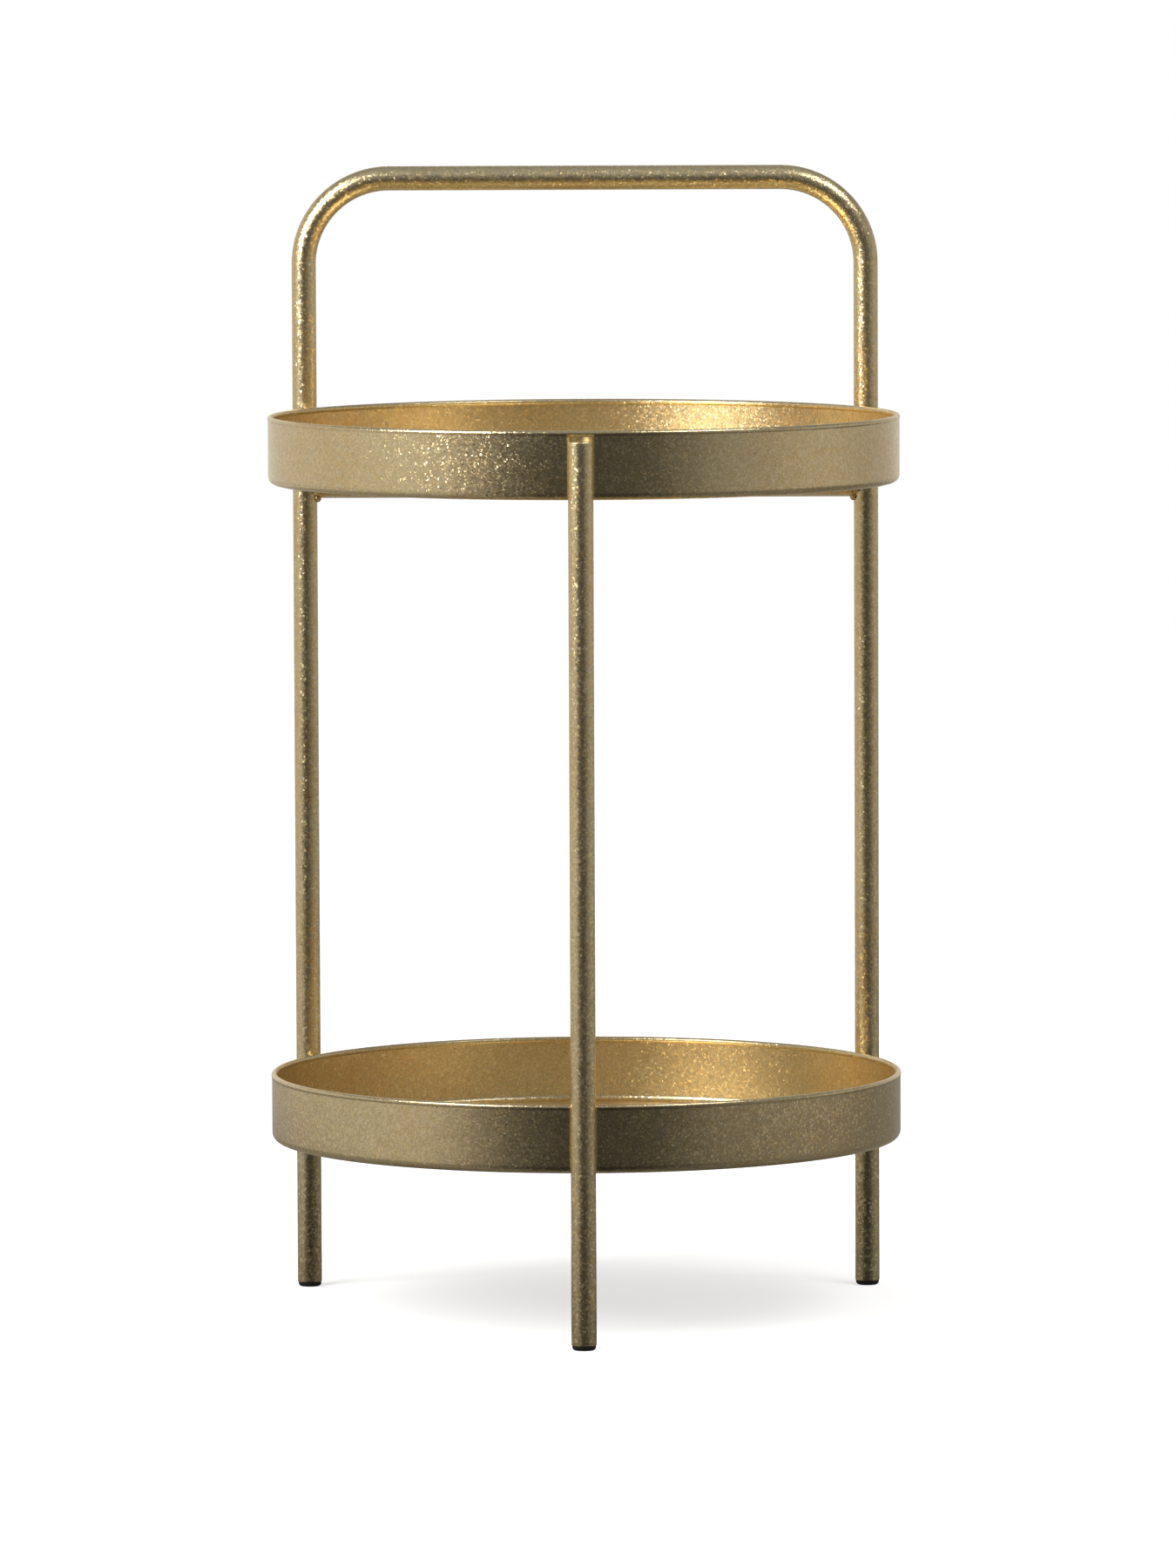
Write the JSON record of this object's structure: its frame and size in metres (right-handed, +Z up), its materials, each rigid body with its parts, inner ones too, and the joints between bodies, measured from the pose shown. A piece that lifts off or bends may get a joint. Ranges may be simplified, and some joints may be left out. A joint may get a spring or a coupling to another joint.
{
  "type": "tiered side table",
  "caption": "Round tiered side table with shallow metal trays between slim tube legs and a carrying handle bent from the rear legs.",
  "frame": {"origin": "on the floor, under the middle of the footprint: half-way across the width and half-way from the front leg's face to the back of the trays", "axes": "+Z up; the front leg is towards -Y and the handle is at the back, towards +Y; +X is to the right of someone who faces the front leg"},
  "size_m": [0.41, 0.426, 0.74],
  "materials": {
    "gilded_tube": "champagne gold metal leaf lacquer on steel tube, satin",
    "gilded_tray": "champagne gold metal leaf lacquer on spun steel sheet, satin",
    "weld_bead": "dressed weld under the same gold lacquer",
    "black_plug": "moulded black polyethylene"
  },
  "bodies": {
    "root": {"handle_frame": "gilded_tube", "front_leg": "gilded_tube", "front_leg_cap": "gilded_tube", "upper_tray": "gilded_tray", "lower_tray": "gilded_tray", "upper_cross_tube": "gilded_tube", "lower_cross_tube": "gilded_tube", "upper_cross_welds": "weld_bead", "lower_cross_welds": "weld_bead", "front_upper_weld": "weld_bead", "front_lower_weld": "weld_bead", "left_upper_weld": "weld_bead", "left_lower_weld": "weld_bead", "right_upper_weld": "weld_bead", "right_lower_weld": "weld_bead", "front_foot_plug": "black_plug", "left_foot_plug": "black_plug", "right_foot_plug": "black_plug"}
  },
  "joints": []
}
